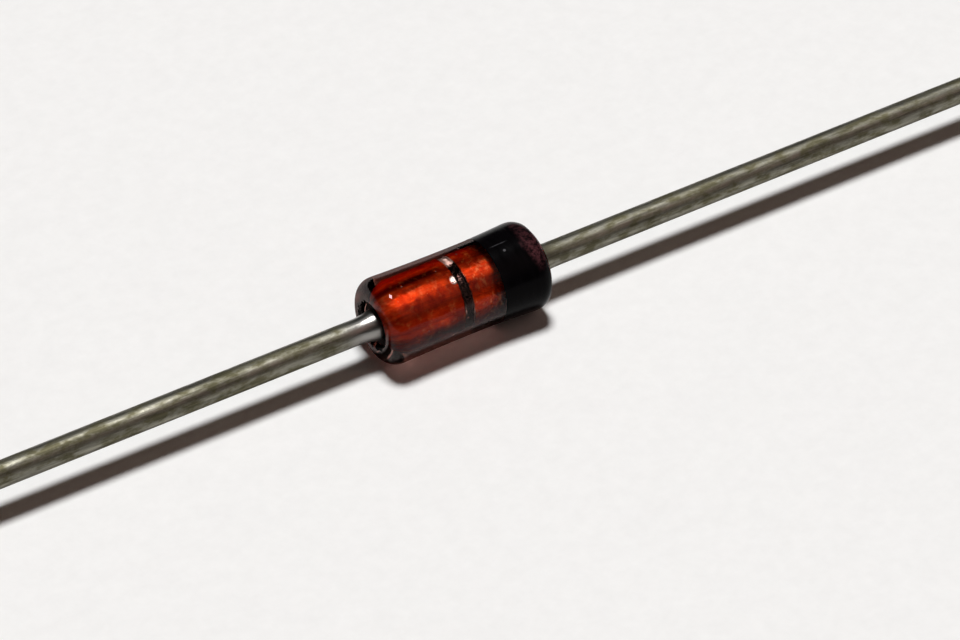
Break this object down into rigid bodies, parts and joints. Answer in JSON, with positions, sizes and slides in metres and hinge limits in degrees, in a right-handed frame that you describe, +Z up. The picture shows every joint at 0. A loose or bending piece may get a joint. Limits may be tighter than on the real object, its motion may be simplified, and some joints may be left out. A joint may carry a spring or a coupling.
{
  "type": "zener diode",
  "caption": "Axial zener diode: a clear glass sleeve sealed over copper-red slugs that clamp the chip, with a tinned wire lead at each end and a black ring at the cathode.",
  "frame": {"origin": "middle of the glass sleeve, on the axis of the leads", "axes": "+X along the leads towards the cathode, which is the banded end; +Z up as the diode lies on a surface"},
  "size_m": [0.0556, 0.0018, 0.0018],
  "materials": {
    "clear_glass": "fire polished, clear",
    "oxide_red_copper": "copper cladding under red oxide, sealed to the glass",
    "silicon": "sawn silicon",
    "silver": "plated silver",
    "tinned_wire": "hot tinned, dulled and streaked along the draw",
    "black_paint": "baked black marking paint"
  },
  "bodies": {
    "root": {"glass_sleeve": "clear_glass", "anode_slug": "oxide_red_copper", "cathode_slug": "oxide_red_copper", "zener_chip": "silicon", "contact_button": "silver", "anode_lead": "tinned_wire", "cathode_lead": "tinned_wire", "cathode_band": "black_paint"}
  },
  "joints": []
}
